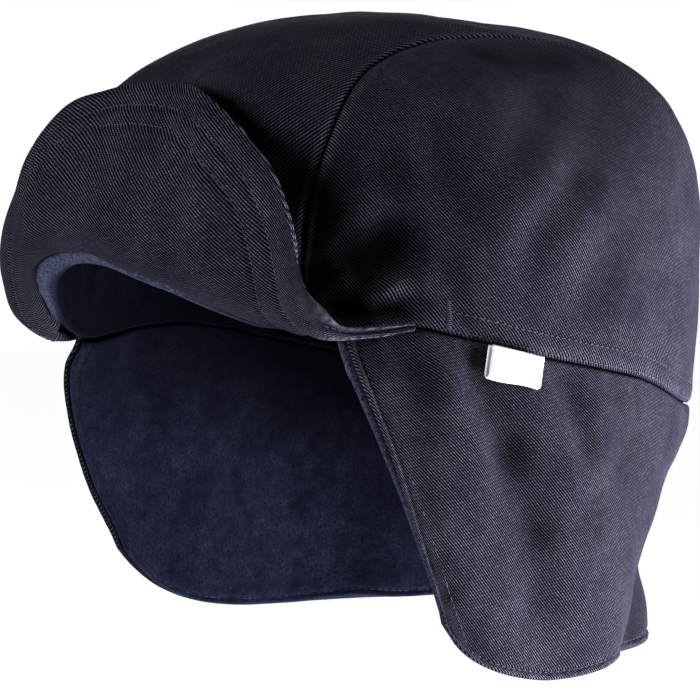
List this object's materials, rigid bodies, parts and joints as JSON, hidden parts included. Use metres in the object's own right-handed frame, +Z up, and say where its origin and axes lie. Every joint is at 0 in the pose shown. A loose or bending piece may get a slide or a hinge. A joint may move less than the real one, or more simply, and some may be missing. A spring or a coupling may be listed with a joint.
{
  "type": "winter cap with ear flaps",
  "caption": "Soft lined twill cap: three-panel crown, turned-up front peak and a deep curtain that covers the ears and the nape.",
  "frame": {"origin": "centre of the head opening, level with the seam above the ears", "axes": "+Z up towards the top of the crown, -Y ahead of the peak, +X towards the wearer's left"},
  "size_m": [0.1789, 0.2144, 0.1946],
  "materials": {
    "twill": "dark navy cotton twill, matt, fine diagonal ribs about 1.2 mm apart",
    "plush": "dark navy short-pile plush, soft and matt",
    "tag_cloth": "blank white woven tape"
  },
  "bodies": {
    "root": {"crown_middle": "twill", "crown_side_left": "twill", "crown_side_right": "twill", "crown_lining": "plush", "curtain": "twill", "curtain_lining": "plush", "peak": "twill", "tag": "tag_cloth"}
  },
  "joints": []
}
